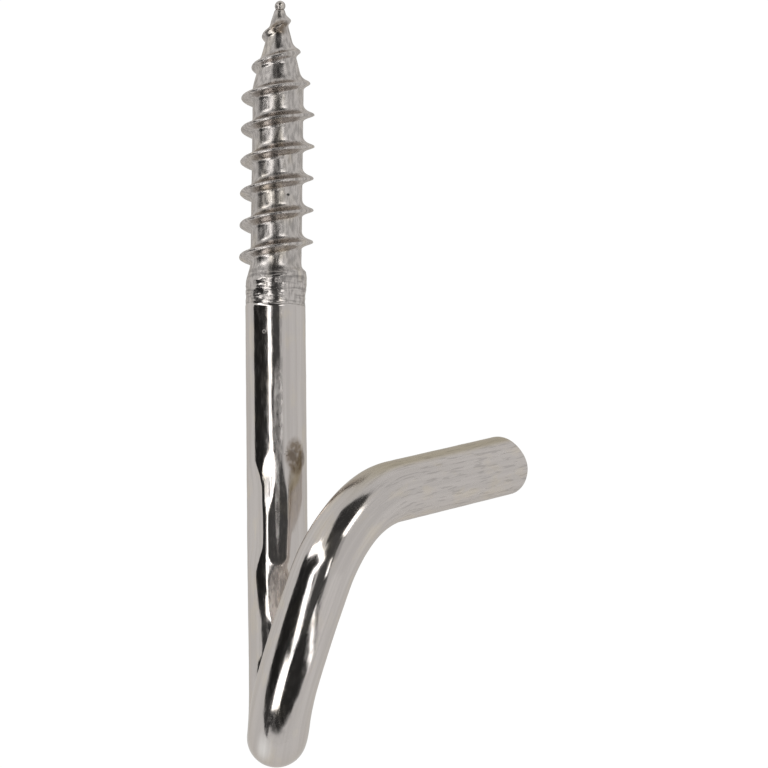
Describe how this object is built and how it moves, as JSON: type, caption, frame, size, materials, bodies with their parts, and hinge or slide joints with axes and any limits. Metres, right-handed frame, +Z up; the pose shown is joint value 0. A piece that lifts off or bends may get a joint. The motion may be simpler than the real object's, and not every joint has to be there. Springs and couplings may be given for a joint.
{
  "type": "open screw eye",
  "caption": "Plated steel wire screw hook with a rolled lag thread and gimlet point, bent into an open side-sprung eye for a rope.",
  "frame": {"origin": "on the shank's axis, where the rolled thread ends and the smooth shank begins", "axes": "+Y along the shank towards the point, seen from above; +X to the side the free arm leaves on; +Z up, with the hook lying as it comes to rest, the shank sloping about 4.6 degrees down towards the point"},
  "size_m": [0.0377, 0.1008, 0.0303],
  "materials": {
    "plated_steel": "bright zinc plate"
  },
  "bodies": {
    "root": {"screw_eye": "plated_steel"}
  },
  "joints": []
}
